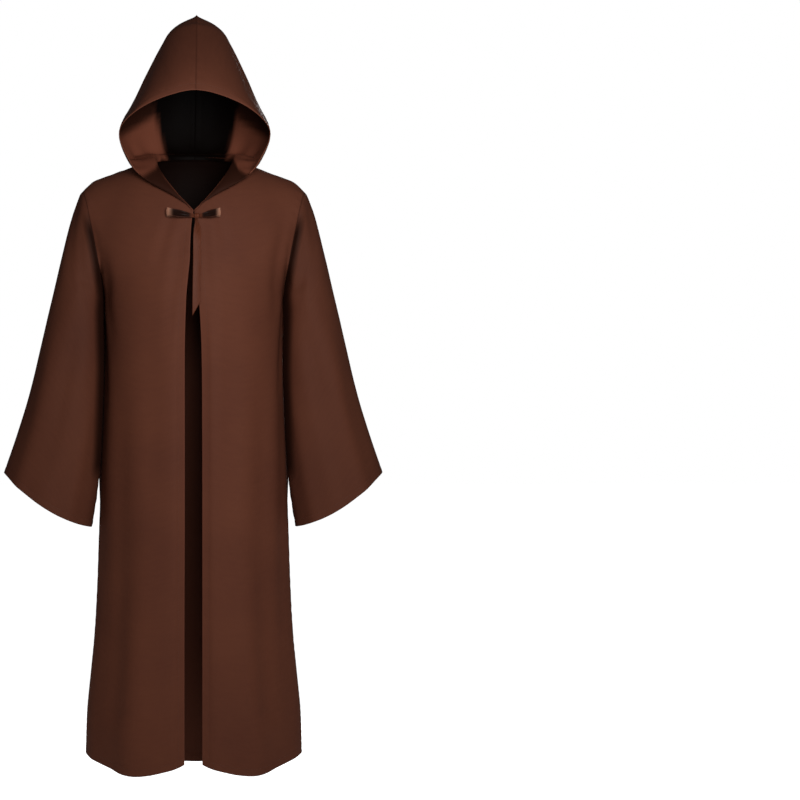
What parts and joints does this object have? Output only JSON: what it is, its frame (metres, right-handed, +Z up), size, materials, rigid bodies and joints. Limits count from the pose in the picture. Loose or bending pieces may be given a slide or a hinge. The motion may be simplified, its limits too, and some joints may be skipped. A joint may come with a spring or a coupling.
{
  "type": "hooded cloak",
  "caption": "Full-length hooded robe with wide bell sleeves, an open front and a satin ribbon bow at the neck, filled out as when worn",
  "frame": {"origin": "Where the wearer's shoulders and neck carry the neckline, at the middle of the garment, level with the side of the neck", "axes": "+Z up, the open front faces -Y, +X is the wearer's left"},
  "size_m": [0.81, 0.3339, 1.6236],
  "materials": {
    "cloth": "smooth woven brown polyester with a soft low sheen",
    "ribbon": "brown satin ribbon"
  },
  "bodies": {
    "root": {"front_left": "cloth", "front_right": "cloth", "back": "cloth", "sleeve_left": "cloth", "sleeve_right": "cloth", "hood_left": "cloth", "hood_right": "cloth", "bow_knot": "ribbon", "bow_loop_left": "ribbon", "bow_loop_right": "ribbon", "ribbon_tail_left": "ribbon", "ribbon_tail_right": "ribbon"}
  },
  "joints": []
}
